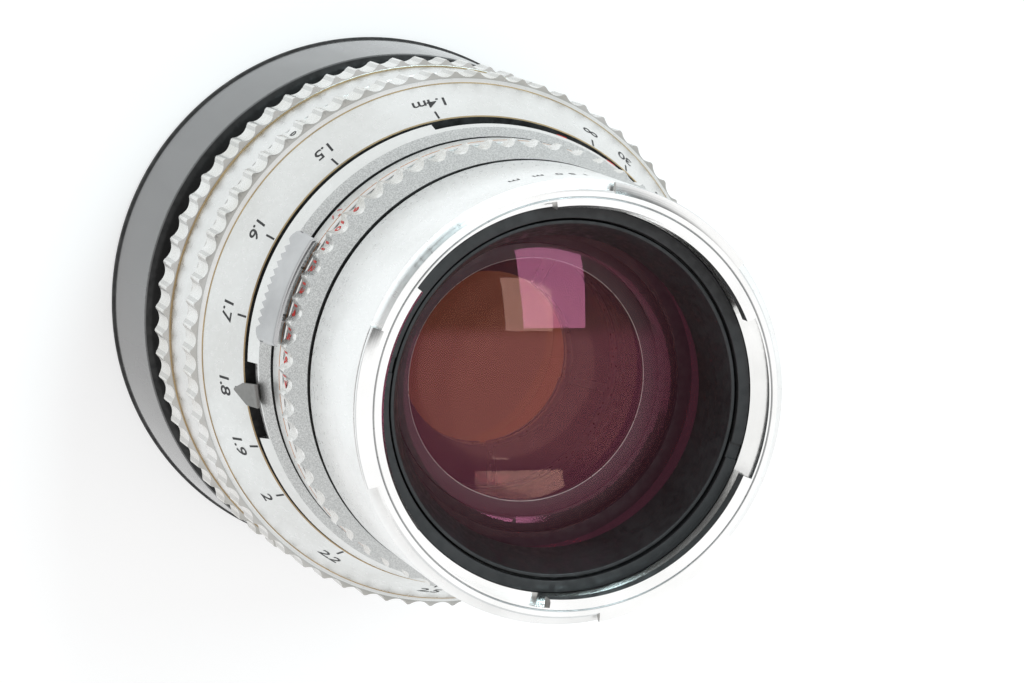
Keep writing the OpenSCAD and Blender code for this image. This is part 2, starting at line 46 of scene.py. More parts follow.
def make_camera():
    """A 140 mm view of the front, from a little above one side of the axis."""
    turn = Matrix.Rotation(math.radians(209), 4, "Z")
    right = Vector((0.95376, 0.0, 0.30057))
    up = Vector((0.04774, 0.98731, -0.15148))
    back = -Vector((0.29676, -0.15883, -0.94165))
    place = Vector((-158.05, 88.70, 575.96)) * MM
    m = Matrix((right, up, back)).transposed().to_4x4()
    m.translation = place
    data = bpy.data.cameras.new("camera")
    data.lens = 140.625
    data.sensor_width = 36.0
    data.clip_start = 0.01
    data.clip_end = 50.0
    cam = bpy.data.objects.new("camera", data)
    bpy.context.scene.collection.objects.link(cam)
    cam.matrix_world = turn @ m
    bpy.context.scene.camera = cam


make_camera()


# ---- materials --------------------------------------------------------------

class Shader:
    """A node material under construction."""

    def __init__(self, name):
        self.mat = bpy.data.materials.new(name)
        self.mat.use_nodes = True
        self.tree = self.mat.node_tree
        self.tree.nodes.clear()
        self.out = self.node("ShaderNodeOutputMaterial")
        self.bsdf = self.node("ShaderNodeBsdfPrincipled")
        self.link(self.bsdf, "BSDF", self.out, "Surface")
        self.coords = self.node("ShaderNodeTexCoord")

    def node(self, kind, **values):
        n = self.tree.nodes.new(kind)
        for key, value in values.items():
            setattr(n, key, value)
        return n

    def link(self, a, a_out, b, b_in):
        self.tree.links.new(a.outputs[a_out], b.inputs[b_in])

    def set(self, **values):
        for key, value in values.items():
            self.bsdf.inputs[key.replace("_", " ")].default_value = value

    def noise(self, scale, detail=3.0, stretch=(1, 1, 1), rough=0.55):
        m = self.node("ShaderNodeMapping")
        m.inputs["Scale"].default_value = stretch
        self.link(self.coords, "Object", m, "Vector")
        n = self.node("ShaderNodeTexNoise")
        n.inputs["Scale"].default_value = scale
        n.inputs["Detail"].default_value = detail
        n.inputs["Roughness"].default_value = rough
        self.link(m, "Vector", n, "Vector")
        return n

    def ramp(self, source, out, stops):
        r = self.node("ShaderNodeValToRGB")
        e = r.color_ramp.elements
        while len(e) < len(stops):
            e.new(0.5)
        for i, (pos, col) in enumerate(stops):
            e[i].position = pos
            e[i].color = (*col, 1.0)
        self.link(source, out, r, "Fac")
        return r

    def bump(self, source, out, strength, distance, before=None):
        b = self.node("ShaderNodeBump")
        b.inputs["Strength"].default_value = strength
        b.inputs["Distance"].default_value = distance * MM
        self.link(source, out, b, "Height")
        if before:
            self.link(before, "Normal", b, "Normal")
        return b

    def radius(self):
        """Distance from the optical axis, in metres."""
        s = self.node("ShaderNodeVectorMath", operation="MULTIPLY")
        s.inputs[1].default_value = (1, 1, 0)
        self.link(self.coords, "Object", s, 0)
        n = self.node("ShaderNodeVectorMath", operation="LENGTH")
        self.link(s, "Vector", n, 0)
        return n

    def lathe(self, scale, radial=False):
        """Fine turning lines round the axis."""
        n = self.node("ShaderNodeTexNoise", noise_dimensions="1D")
        n.inputs["Scale"].default_value = scale
        n.inputs["Detail"].default_value = 2.0
        if radial:
            self.link(self.radius(), "Value", n, "W")
        else:
            s = self.node("ShaderNodeSeparateXYZ")
            self.link(self.coords, "Object", s, "Vector")
            self.link(s, "Z", n, "W")
        return n


def metal(name, light, dark, rough, grime=0.0, lines=0.0, radial=False, grain=0.25):
    """Plated or turned metal with cloudy colour, grime, small scratches and turning lines."""
    s = Shader(name)
    s.set(Metallic=1.0, Specular_IOR_Level=0.5)
    cloud = s.noise(90.0, 5.0)
    col = s.ramp(cloud, "Fac", [(0.3 - 0.25 * grime, dark), (0.62, light)])
    s.link(col, "Color", s.bsdf, "Base Color")
    speck = s.noise(1400.0, 2.0)
    mix = s.node("ShaderNodeMapRange")
    mix.inputs["From Min"].default_value = 0.25
    mix.inputs["From Max"].default_value = 0.75
    mix.inputs["To Min"].default_value = rough * 0.8
    mix.inputs["To Max"].default_value = rough * 1.3
    s.link(speck, "Fac", mix, "Value")
    s.link(mix, "Result", s.bsdf, "Roughness")
    bump = s.bump(speck, "Fac", grain, 0.01)
    if lines:
        bump = s.bump(s.lathe(5200.0, radial), "Fac", lines, 0.006, bump)
    s.link(bump, "Normal", s.bsdf, "Normal")
    return s.mat


def speckled(name, dark, light, rough):
    """Fine-grained blasted metal."""
    s = Shader(name)
    s.set(Metallic=0.85, Specular_IOR_Level=0.5, Roughness=rough)
    grain = s.noise(5200.0, 2.0)
    col = s.ramp(grain, "Fac", [(0.38, dark), (0.62, light)])
    s.link(col, "Color", s.bsdf, "Base Color")
    bump = s.bump(grain, "Fac", 0.4, 0.02)
    s.link(bump, "Normal", s.bsdf, "Normal")
    return s.mat


def plastic(name, colour, rough, spots=0.0, coat=0.0, lines=0.0, radial=False, stretch=(1, 1, 1),
            depth=0.2):
    """Moulded plastic or painted metal, with a faint uneven gloss."""
    s = Shader(name)
    s.set(Metallic=0.0, Specular_IOR_Level=0.5, IOR=1.5)
    if coat:
        s.set(Coat_Weight=coat, Coat_Roughness=0.08)
    cloud = s.noise(160.0, 4.0, stretch)
    up = tuple(min(1.0, c * 1.25 + 0.004) for c in colour)
    down = tuple(c * (1 - depth) for c in colour)
    col = s.ramp(cloud, "Fac", [(0.3, down), (0.7, up)])
    s.link(col, "Color", s.bsdf, "Base Color")
    fine = s.noise(900.0, 3.0)
    mix = s.node("ShaderNodeMapRange")
    mix.inputs["From Min"].default_value = 0.35
    mix.inputs["From Max"].default_value = 0.65
    mix.inputs["To Min"].default_value = rough * 0.8
    mix.inputs["To Max"].default_value = min(1.0, rough * 1.25 + spots)
    s.link(cloud if spots else fine, "Fac", mix, "Value")
    s.link(mix, "Result", s.bsdf, "Roughness")
    bump = s.bump(fine, "Fac", 0.15, 0.01)
    if lines:
        bump = s.bump(s.lathe(4200.0, radial), "Fac", lines, 0.02, bump)
    s.link(bump, "Normal", s.bsdf, "Normal")
    return s.mat


def coated_glass(name, tint, inner, strength, glow=None):
    """Clear glass with a coloured coating: it lets light straight through and reflects the tint.
    glow is a weak light of its own, painted light that stands in for the coloured reflections seen in the
    glass."""
    s = Shader(name)
    s.tree.nodes.remove(s.bsdf)
    clear = s.node("ShaderNodeBsdfTransparent")
    clear.inputs["Color"].default_value = (*inner, 1.0)
    gloss = s.node("ShaderNodeBsdfGlossy")
    gloss.inputs["Color"].default_value = (*tint, 1.0)
    gloss.inputs["Roughness"].default_value = 0.015
    facing = s.node("ShaderNodeFresnel")
    facing.inputs["IOR"].default_value = 1.6
    amount = s.node("ShaderNodeMath", operation="MULTIPLY")
    amount.inputs[1].default_value = strength
    amount.use_clamp = True
    s.link(facing, "Fac", amount, 0)
    mix = s.node("ShaderNodeMixShader")
    s.link(amount, "Value", mix, 0)
    s.link(clear, "BSDF", mix, 1)
    s.link(gloss, "BSDF", mix, 2)
    last = mix
    if glow:
        light = s.node("ShaderNodeEmission")
        light.inputs["Color"].default_value = (*glow, 1.0)
        last = s.node("ShaderNodeAddShader")
        s.link(mix, "Shader", last, 0)
        s.link(light, "Emission", last, 1)
    s.link(last, "Shader", s.out, "Surface")
    return s.mat


satin = metal("satin_chrome", (0.80, 0.795, 0.78), (0.60, 0.58, 0.53), 0.26, grime=0.35, grain=0.1)
fine_satin = metal("fine_satin_chrome", (0.74, 0.74, 0.73), (0.66, 0.655, 0.64), 0.3, lines=0.12)
worn_satin = metal("worn_satin_chrome", (0.27, 0.265, 0.255), (0.15, 0.15, 0.145), 0.4, grime=0.5)
barrel_satin = metal("barrel_chrome", (0.86, 0.86, 0.855), (0.76, 0.76, 0.75), 0.3, lines=0.1, grain=0.1)
tab_satin = metal("brushed_tab_chrome", (0.52, 0.52, 0.525), (0.40, 0.40, 0.405), 0.2, lines=0.3, grain=0.06)
polished = metal("polished_chrome", (0.95, 0.95, 0.945), (0.86, 0.86, 0.85), 0.12, lines=0.3, radial=True,
                 grain=0.1)
worn_edge = metal("worn_rim_chrome", (0.6, 0.59, 0.57), (0.26, 0.25, 0.24), 0.35, grime=0.6)
grey_face = speckled("grey_blasted_chrome", (0.44, 0.44, 0.435), (0.66, 0.66, 0.65), 0.5)
# Painted shade: darker copies of the satin chrome, for the forward facets and the steep walls of the grip
# scoops.
facet_shade_satin = metal("facet_painted_shade_chrome", (0.50, 0.495, 0.48), (0.36, 0.35, 0.32), 0.3, grime=0.3, grain=0.1)
wall_shade_satin = metal("scoop_wall_painted_shade_chrome", (0.62, 0.615, 0.60), (0.46, 0.45, 0.42), 0.24, grime=0.3, grain=0.1)
steel = metal("turned_steel", (0.55, 0.55, 0.55), (0.40, 0.40, 0.40), 0.3, lines=0.3)
brass = metal("brass", (0.72, 0.55, 0.25), (0.55, 0.40, 0.18), 0.3, grime=0.3)
blued = metal("blued_steel", (0.14, 0.14, 0.16), (0.08, 0.08, 0.09), 0.35, lines=0.1)
# Painted reflections: the deep streaks of lighter and darker colour along the cap's side stand in for
# reflections on the gloss.
cap_black = plastic("black_gloss_plastic", (0.07, 0.07, 0.071), 0.12, spots=0.3, coat=0.8,
                    stretch=(0.25, 0.25, 0.05), depth=0.9)
cap_matt = plastic("black_matt_plastic", (0.006, 0.006, 0.006), 0.62)
# Painted sheen: a lighter, duller band for the cap's front outer edge.
cap_edge_sheen = plastic("black_edge_painted_sheen", (0.10, 0.10, 0.10), 0.3)
# Painted shade: near-black laid on ring faces that sit in the shadowed gaps between the rings.
gap_shade_black = plastic("painted_gap_shade", (0.004, 0.004, 0.004), 0.8)
black_metal = plastic("black_anodised", (0.012, 0.012, 0.012), 0.5, lines=0.3)
black_ring_mat = plastic("black_turned", (0.010, 0.010, 0.011), 0.5, lines=0.8, radial=True)
cell_black = plastic("matt_black_cell", (0.006, 0.006, 0.0065), 0.62, lines=0.7)
tan_line = plastic("old_grease", (0.38, 0.27, 0.14), 0.6)
ink = plastic("black_filling", (0.012, 0.012, 0.013), 0.5)
red = plastic("red_filling", (0.55, 0.025, 0.015), 0.5)
orange = plastic("orange_line", (0.50, 0.17, 0.02), 0.5)
white_plastic = plastic("ivory_insulator", (0.75, 0.73, 0.65), 0.4)
# Painted light: the front glass glows a faint purple of its own, standing in for its coloured reflections.
front_glass_mat = coated_glass("purple_coated_glass", (1.0, 0.25, 0.45), (0.95, 0.92, 0.90), 0.72,
                               glow=(0.016, 0.006, 0.009))
glass_back_mat = coated_glass("plain_glass_back", (1.0, 0.45, 0.35), (0.97, 0.95, 0.94), 0.15)
inner_glass_mat = coated_glass("amber_coated_glass", (1.0, 0.54, 0.46), (0.96, 0.94, 0.92), 0.58)
# Painted light: the rear glasses glow a faint amber of their own, standing in for the amber reflections seen
# through the opening.
rear_glass_mat = coated_glass("deep_amber_coated_glass", (1.0, 0.42, 0.05), (0.96, 0.92, 0.86), 0.9,
                              glow=(0.040, 0.014, 0.003))


# ---- mesh helpers -----------------------------------------------------------

def finish_mesh(name, verts, faces, mat, body, slot=None, replaces=(), sharp=30, paint=()):
    """Makes an object that rides on a body. Edges sharper than sharp degrees stay crisp.
    paint holds (material, test) pairs. A test sees a face's radius, height, and how far its
    normal leans outwards and forwards, and the first test that holds gives the face its material."""
    mesh = bpy.data.meshes.new(name)
    mesh.from_pydata([(x * MM, y * MM, z * MM) for x, y, z in verts], [], faces)
    bm = bmesh.new()
    bm.from_mesh(mesh)
    bmesh.ops.remove_doubles(bm, verts=bm.verts, dist=1e-7)
    bmesh.ops.recalc_face_normals(bm, faces=bm.faces)
    limit = math.radians(sharp)
    for f in bm.faces:
        f.smooth = True
    for e in bm.edges:
        if len(e.link_faces) == 2 and e.calc_face_angle(0.0) > limit:
            e.smooth = False
    for f in bm.faces:
        c = f.calc_center_median() / MM
        radius = math.hypot(c.x, c.y)
        outward = (f.normal.x * c.x + f.normal.y * c.y) / max(radius, 1e-9)
        for i, (_, test) in enumerate(paint):
            if test(radius, c.z, outward, f.normal.z):
                f.material_index = i + 1
                break
    bm.to_mesh(mesh)
    bm.free()
    mesh.materials.append(mat)
    for extra, _ in paint:
        mesh.materials.append(extra)
    ob = bpy.data.objects.new(name, mesh)
    bpy.context.scene.collection.objects.link(ob)
    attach(ob, body)
    if replaces:
        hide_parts(*replaces)
    return ob


def polar(r, a, z):
    """The point at a radius, an angle from the focusing index, and a height."""
    t = math.radians(INDEX + a)
    return (r * math.cos(t), r * math.sin(t), z)


def rounded(points, radius=0.12):
    """A closed profile with its corners rounded off, apart from those on the axis."""
    steps = 3
    out = []
    n = len(points)
    for i, p in enumerate(points):
        a = Vector(points[i - 1])
        b = Vector(p)
        c = Vector(points[(i + 1) % n])
        if p[0] < 1e-6:
            out.append(tuple(p))
            continue
        u, v = a - b, c - b
        if u.length < 1e-6 or v.length < 1e-6:
            out.append(tuple(p))
            continue
        cut = min(radius, 0.4 * u.length, 0.4 * v.length)
        s, e = b + u.normalized() * cut, b + v.normalized() * cut
        for k in range(steps + 1):
            t = k / steps
            q = s * (1 - t) ** 2 + b * (2 * t * (1 - t)) + e * t ** 2
            out.append((q.x, q.y))
    return out


def columns(name, cols, mat, body, wrap=True, **more):
    """A ring from a list of (angle, closed profile), all profiles with the same number of points."""
    verts, faces = [], []
    m = len(cols[0][1])
    for a, profile in cols:
        verts += [polar(r, a, z) for r, z in profile]
    n = len(cols)
    for i in range(n if wrap else n - 1):
        j = (i + 1) % n
        for k in range(m):
            q = (k + 1) % m
            faces.append((i * m + k, j * m + k, j * m + q, i * m + q))
    if not wrap:
        faces.append(tuple(range(m)))
        faces.append(tuple((n - 1) * m + k for k in reversed(range(m))))
    return finish_mesh(name, verts, faces, mat, body, **more)


def turned(name, profile, mat, body, segments=288, radius=0.12, **more):
    """A turned part from a closed (radius, height) profile."""
    prof = rounded(profile, radius)
    cols = [(360.0 * i / segments, prof) for i in range(segments)]
    return columns(name, cols, mat, body, **more)


def sector(name, profile, centre, sweep, mat, body, radius=0.1, **more):
    """A piece of a turned part, sweep degrees long."""
    n = max(2, int(sweep / 1.5) + 1)
    prof = rounded(profile, radius)
    cols = [(centre - sweep / 2 + sweep * i / n, prof) for i in range(n + 1)]
    return columns(name, cols, mat, body, wrap=False, **more)


def gapped(name, full, cut, gaps, mat, body, radius=0.1, **more):
    """A ring whose profile changes from full to cut inside each (start, end) gap."""
    step = 1.25     # degrees from one column to the next
    marks = sorted([(a % 360, "in") for a, _ in gaps] + [(b % 360, "out") for _, b in gaps])
    full, cut = rounded(full, radius), rounded(cut, radius)

    def inside(a):
        return any((a - g0) % 360 < (g1 - g0) - 1e-6 for g0, g1 in gaps)

    angles = [round(i * step, 6) for i in range(int(360 / step))]
    angles = [a for a in angles if all(min(abs(a - m), 360 - abs(a - m)) > 0.15 for m, _ in marks)]
    cols = []
    for a in angles:
        cols.append((a, 1, cut if inside(a) else full))
    for a, kind in marks:
        first, second = (full, cut) if kind == "in" else (cut, full)
        cols.append((a, 0, first))
        cols.append((a + 1e-4, 2, second))
    cols.sort(key=lambda c: (c[0], c[1]))
    return columns(name, [(a, p) for a, _, p in cols], mat, body, **more)


def scoop_radius(crest_r, count, depth):
    """Radius of the cutter that leaves almost sharp ridges between scoops."""
    half = 0.93 * math.pi * crest_r / count
    return (half * half + depth * depth) / (2 * depth)


def scooped(name, stations, back_r, crest_r, count, depth, ridge, mat, body, **more):
    """A gripped ring. stations are (z, r) along the outside, from the rear to the front.
    Each column follows them, but nowhere stands further out than the scoop does."""
    per = 14        # columns to a scoop
    rs = scoop_radius(crest_r, count, depth)
    centre = crest_r - depth + rs
    cols = []
    for i in range(count * per):
        t = i / per
        off = (t - round(t - 0.5) - 0.5)      # -0.5..0.5 across a scoop, 0 at its middle
        ang = math.radians(off * 360.0 / count)
        d = centre * math.sin(ang)
        lim = crest_r
        if abs(d) < rs:
            lim = min(crest_r, centre * math.cos(ang) - math.sqrt(rs * rs - d * d))
        outer = []
        for k, (z, r) in enumerate(stations):
            outer.append((min(r, lim), z))
            if k + 1 < len(stations):
                z2, r2 = stations[k + 1]
                crosses = abs(r2 - r) > 1e-9 and min(r, r2) < lim < max(r, r2)
                t2 = (lim - r) / (r2 - r) if crosses else 0.5
                outer.append((min(r + (r2 - r) * t2, lim), z + (z2 - z) * t2))
        prof = [(back_r, stations[0][0])] + outer + [(back_r, stations[-1][0])]
        cols.append((ridge + 360.0 / count * t, prof))
    return columns(name, cols, mat, body, sharp=24, **more)


def on_surface(name, shapes, place, mat, body):
    """Flat outlines laid on a curved surface. place(x, y, lift) gives a point."""
    lift = 0.02     # height of the filling above the metal
    verts, faces = [], []
    for pts, tris in shapes:
        base = len(verts)
        verts += [place(x, y, lift) for x, y in pts]
        faces += [tuple(base + i for i in t) for t in tris]
    mesh = bpy.data.meshes.new(name)
    mesh.from_pydata([tuple(c * MM for c in v) for v in verts], [], faces)
    mesh.materials.append(mat)
    ob = bpy.data.objects.new(name, mesh)
    bpy.context.scene.collection.objects.link(ob)
    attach(ob, body)
    return ob


_glyphs = {}


def glyph(text, height, shear=0.0, spacing=1.0, bold=0.0):
    """Triangles of a line of text, centred on x = 0 with its foot at y = 0."""
    key = (text, height, shear, spacing, bold)
    if key in _glyphs:
        return _glyphs[key]
    curve = bpy.data.curves.new("glyph", "FONT")
    curve.body = text
    curve.size = height / 0.72
    curve.space_character = spacing
    curve.offset = bold * height
    curve.resolution_u = 3
    curve.fill_mode = "FRONT"
    ob = bpy.data.objects.new("glyph", curve)
    bpy.context.scene.collection.objects.link(ob)
    bpy.context.view_layer.update()
    dep = bpy.context.evaluated_depsgraph_get()
    mesh = ob.evaluated_get(dep).to_mesh()
    pts = [(v.co.x + shear * v.co.y, v.co.y) for v in mesh.vertices]
    tris = [tuple(p.vertices) for p in mesh.polygons]
    ob.evaluated_get(dep).to_mesh_clear()
    bpy.data.objects.remove(ob)
    bpy.data.curves.remove(curve)
    mid = (min(p[0] for p in pts) + max(p[0] for p in pts)) / 2
    pts = [(x - mid, y) for x, y in pts]
    _glyphs[key] = (pts, tris)
    return _glyphs[key]


def moved(shape, dx, dy=0.0, turn=0.0):
    """A shape turned about its origin and moved along the surface."""
    pts, tris = shape
    c, s = math.cos(turn), math.sin(turn)
    return ([(x * c - y * s + dx, x * s + y * c + dy) for x, y in pts], tris)


def bar(width, length):
    """A tick mark standing on y = 0."""
    return ([(-width / 2, 0), (width / 2, 0), (width / 2, length), (-width / 2, length)], [(0, 1, 2, 3)])


# ---- rear cap and mount -----------------------------------------------------

turned("cap_shell", [
    (0, 0.5), (30, 0.5), (30.4, 0), (38.2, 0), (38.8, 0.6), (38.8, 1.5), (38.45, 1.9),
    (37.8, 18.85), (36.9, 19.4), (33, 19.4), (33, 3), (0, 3)],
    cap_black, "rear_cap", segments=360, radius=0.22, slot="cap_plastic", replaces=["rear_cap"],
    # Painted sheen: the front outer edge gets the lighter, duller band.
    paint=[(cap_edge_sheen, lambda r, z, nr, nz: 18.6 < z < 19.05 and r > 37.3),
           (cap_matt, lambda r, z, nr, nz: z >= 19.05 or z < 1.95)])
for i in range(4):
    sector(f"cap_lug_{i + 1}", [(30, 14.4), (33.05, 14.4), (33.05, 16.2), (30, 16.2)],
           (i + 0.5) * 90, 30, cap_black, "rear_cap", slot="cap_plastic")

turned("barrel_tube", [
    (27.6, 21), (34.6, 21), (34.6, 48.4), (32.78, 48.4), (32.78, 22.8), (27.6, 22.8)],
    black_metal, "mount", slot="black_barrel", replaces=["fixed_barrel"])


# ---- focusing ring ----------------------------------------------------------

GRIP_RIDGE = 88.5
GRIP_COUNT = 72
GRIP_DEPTH = 0.75
GRIP_SEAT_R = 35.95
REAR_CREST_R = 38.17
FRONT_CREST_R = 37.8
# Painted shade on the grips: rear faces black, forward facets and steep scoop walls in darker chrome.
GRIP_SHADE_PAINT = [(gap_shade_black, lambda r, z, nr, nz: nz < -0.8),
              (facet_shade_satin, lambda r, z, nr, nz: nz > 0.25),
              (wall_shade_satin, lambda r, z, nr, nz: 0 < nr < 0.87)]
scooped("rear_grip", [(26.75, 37.7), (27.1, 38.1), (27.25, REAR_CREST_R), (31.75, REAR_CREST_R),
                      (31.95, 38.1), (32.6, 37.35), (32.62, 37.2), (32.8, 37.15)],
        GRIP_SEAT_R, REAR_CREST_R, GRIP_COUNT, GRIP_DEPTH, GRIP_RIDGE, satin, "focus_ring",
        slot="satin_ring", replaces=["rear_grip_ring"], paint=GRIP_SHADE_PAINT)
turned("grip_band", [(GRIP_SEAT_R, 32.8), (37.12, 32.8), (37.12, 42.2), (GRIP_SEAT_R, 42.2)],
       fine_satin, "focus_ring", slot="satin_ring", radius=0.02, replaces=["front_grip_ring"])
turned("grip_line_rear", [(36.5, 32.72), (37.3, 32.72), (37.3, 32.98), (36.5, 32.98)],
       tan_line, "focus_ring", slot="satin_ring", radius=0.03)
scooped("front_grip", [(42.0, 37.1), (42.3, 37.3), (42.65, 37.74), (42.8, FRONT_CREST_R),
                       (47.45, FRONT_CREST_R), (47.6, 37.74), (48.1, 37.0), (48.3, 36.86)],
        GRIP_SEAT_R, FRONT_CREST_R, GRIP_COUNT, GRIP_DEPTH, GRIP_RIDGE, satin, "focus_ring",
        slot="satin_ring", paint=GRIP_SHADE_PAINT)
turned("grip_collar", [(GRIP_SEAT_R, 48.3), (36.9, 48.3), (36.4, 48.85), (GRIP_SEAT_R, 48.85)],
       fine_satin, "focus_ring", slot="satin_ring", radius=0.04)


CONE_REAR_R, CONE_REAR_Z = 36.3, 48.95
CONE_FRONT_R, CONE_FRONT_Z = 32.57, 57.5


def cone_r(z):
    """Radius of the scale cone at a height."""
    along = (z - CONE_REAR_Z) / (CONE_FRONT_Z - CONE_REAR_Z)
    return CONE_REAR_R + (CONE_FRONT_R - CONE_REAR_R) * along


turned("grip_line_front", [(35.6, 48.8), (36.42, 48.8), (36.33, 49.0), (35.6, 49.0)],
       tan_line, "focus_ring", slot="satin_ring", radius=0.03)
turned("scale_cone", [(34.9, 49.0), (cone_r(49.0), 49.0), (cone_r(57.4), 57.4),
                      (32.4, CONE_FRONT_Z), (30.56, CONE_FRONT_Z), (30.56, 57.1), (31.8, 57.1)],
       fine_satin, "focus_ring", segments=360, radius=0.06, slot="scale_ring",
       replaces=["distance_scale_ring"],
       paint=[(tan_line, lambda r, z, nr, nz: 57.36 < z < 57.46 and r > 32.3),
              # Painted shade: the cone's front and inner faces at the gap are black.
              (gap_shade_black, lambda r, z, nr, nz: nz > 0.75 or nr < -0.2 or z > 57.46)])

CONE_SLANT = math.hypot(CONE_FRONT_Z - CONE_REAR_Z, CONE_REAR_R - CONE_FRONT_R)
CONE_DZ = (CONE_FRONT_Z - CONE_REAR_Z) / CONE_SLANT
CONE_DR = (CONE_REAR_R - CONE_FRONT_R) / CONE_SLANT


def cone_place(centre):
    """Lays x along the cone and y up its slope. y is 0 at the front edge and negative behind it."""
    def place(x, y, lift):
        z = CONE_FRONT_Z + y * CONE_DZ
        r = CONE_FRONT_R - y * CONE_DR
        r += lift * CONE_DZ
        z += lift * CONE_DR
        return polar(r, centre + math.degrees(x / r), z)
    return place


def band_place(radius, centre, z0):
    """Lays x along a plain cylinder and y from z0 towards the front."""
    def place(x, y, lift):
        return polar(radius + lift, centre + math.degrees(x / radius), z0 + y)
    return place


# metres on the scale and the angle at which each one stands
METRES = [("1.4m", 37.6), ("1.5", 64.8), ("1.6", 88.2), ("1.7", 107.8), ("1.8", 124.9),
          ("1.9", 139.5), ("2", 153.1), ("2.2", 174.0), ("2.5", 200.0), ("3", 229.4),
          ("4", 264.1), ("5", 283.9), ("7", 305.3), ("10", 321.8), ("15", 333.9), ("30", 346.8),
          ("∞", 357.3)]
NUMERAL = 2.1
NUMERAL_FOOT = -5.6     # from the front edge of the cone, along its slope
for k, (text, a) in enumerate(METRES):
    digits = moved(glyph(text, NUMERAL, shear=0.1, spacing=0.9, bold=0.015), 0.0, NUMERAL_FOOT)
    on_surface(f"metre_{k + 1}", [digits], cone_place(a), ink, "focus_ring")
    on_surface(f"scale_tick_{k + 1}", [moved(bar(0.3, 1.9), 0.0, -2.3)], cone_place(a), ink,
               "focus_ring")


# ---- index ring ---------------------------------------------------------------

WINDOW_HALF = 40.6              # half the width of the depth-of-field window
LEVER_SLOT = (118.0, 137.0)     # where the slot of the stop-down lever starts and ends
full_index = [(27.42, 58.7), (28.0, 58.7), (28.0, 61.1), (31.1, 61.1), (31.1, 60.3), (31.45, 60.3),
              (31.45, 58.7), (32.4, 58.7), (31.5, 61.4), (30.4, 63.6), (27.42, 63.6)]
window_index = [(27.42, 58.7), (28.0, 58.7), (28.0, 61.1), (31.1, 61.1), (31.1, 60.32),
                (31.13, 60.32), (31.2, 60.32), (31.85, 60.32), (31.5, 61.4), (30.4, 63.6),
                (27.42, 63.6)]
slot_index = [(27.42, 58.7), (28.0, 58.7), (28.0, 61.1), (30.9, 61.1), (30.92, 61.1), (30.95, 61.1),
              (31.0, 61.1), (31.6, 61.1), (31.5, 61.4), (30.4, 63.6), (27.42, 63.6)]


def index_ring():
    """The collar in front of the scale, with its window and its slot."""
    gaps = [(-WINDOW_HALF, WINDOW_HALF, window_index), (*LEVER_SLOT, slot_index)]
    profs = {id(p): rounded(p, 0.08) for p in (full_index, window_index, slot_index)}
    cols = []
    marks = []
    for a, b, p in gaps:
        marks += [(a, full_index, p), (b, p, full_index)]
    angle = -180.0
    while angle < 180.0:
        if all(abs(angle - m[0]) > 0.15 for m in marks):
            inside = [p for a, b, p in gaps if a < angle < b]
            cols.append((angle, profs[id(inside[0] if inside else full_index)]))
        angle += 1.25
    for a, first, second in marks:
        cols.append((a - 5e-5, profs[id(first)]))
        cols.append((a + 5e-5, profs[id(second)]))
    cols.sort(key=lambda c: c[0])
    columns("index_collar", cols, fine_satin, "carriage", slot="scale_ring", replaces=["index_ring"],
            paint=[(steel, lambda r, z, nr, nz: 61.0 < z < 61.2 and nz < -0.8 and r > 30.9),
                   # Painted shade: the collar's front and rear faces, its rear edge and the walls inside the
                   # window and slot are black.
                   (gap_shade_black, lambda r, z, nr, nz: abs(nz) > 0.8 or z < 58.85 or r < 31.0 and nr < 0.5),
                   (grey_face, lambda r, z, nr, nz: z > 61.4)])


index_ring()

for k, (z, a, body, old) in enumerate([(58.8, 7.0, "dof_near", "dof_ring_near"),
                                       (59.55, -7.0, "dof_far", "dof_ring_far")]):
    turned(f"depth_ring_{k + 1}", [(28.1, z), (31.35, z), (31.35, z + 0.65), (28.1, z + 0.65)],
           steel, body, slot="steel", radius=0.05, replaces=[old])
    sector(f"depth_pointer_{k + 1}", [(31.3, z), (31.95, z), (31.95, z + 0.65), (31.3, z + 0.65)],
           a, 2.4, red, body, slot="steel", radius=0.05)


def shell_plate(name, outline, r_of, thick, centre, mat, body, **more):
    """A plate bent over a cone: outline points are (mm along the ring, z)."""
    verts, faces = [], []
    n = len(outline)
    for inner in (0.0, thick):
        for x, z in outline:
            r = r_of(z) - inner
            verts.append(polar(r, centre + math.degrees(x / r_of(z)), z))
    faces.append(tuple(range(n)))
    faces.append(tuple(reversed(range(n, 2 * n))))
    for i in range(n):
        j = (i + 1) % n
        faces.append((i, j, n + j, n + i))
    ob = finish_mesh(name, verts, faces, mat, body, **more)
    mod = ob.modifiers.new("edges", "BEVEL")
    mod.width = 0.08 * MM
    mod.segments = 2
    return ob


def flag_r(z):
    """Radius of the outside of the stop-down lever's plate at a height."""
    return 34.0 + (32.4 - 34.0) * (z - 56.4) / (62.3 - 56.4)


FLAG = 125.0
shell_plate("stop_down_plate",
            [(-0.2, 56.45), (0.1, 56.45), (1.88, 59.4), (1.98, 62.28), (-1.38, 62.28), (-1.18, 59.0)],
            flag_r, 0.45, FLAG, worn_satin, "stop_down",
            slot="chromed_brass", replaces=["stop_down_lever"])
sector("stop_down_foot", [(31, 60.45), (32.3, 60.45), (32.3, 60.95), (31, 60.95)], FLAG, 4.0,
       worn_satin, "stop_down", slot="chromed_brass", radius=0.05)

SYNC = -101
sector("sync_block", [(29.5, 61.7), (32.6, 61.7), (32.6, 63.1), (29.5, 63.1)], SYNC, 5.0,
       worn_satin, "sync_lever", slot="chromed_brass", replaces=["sync_lever"])
sector("sync_knob", [(32.5, 61.7), (34.5, 61.7), (34.6, 62.4), (34.5, 63.1), (32.5, 63.1)], SYNC,
       3.0, satin, "sync_lever", slot="chromed_brass", radius=0.3)


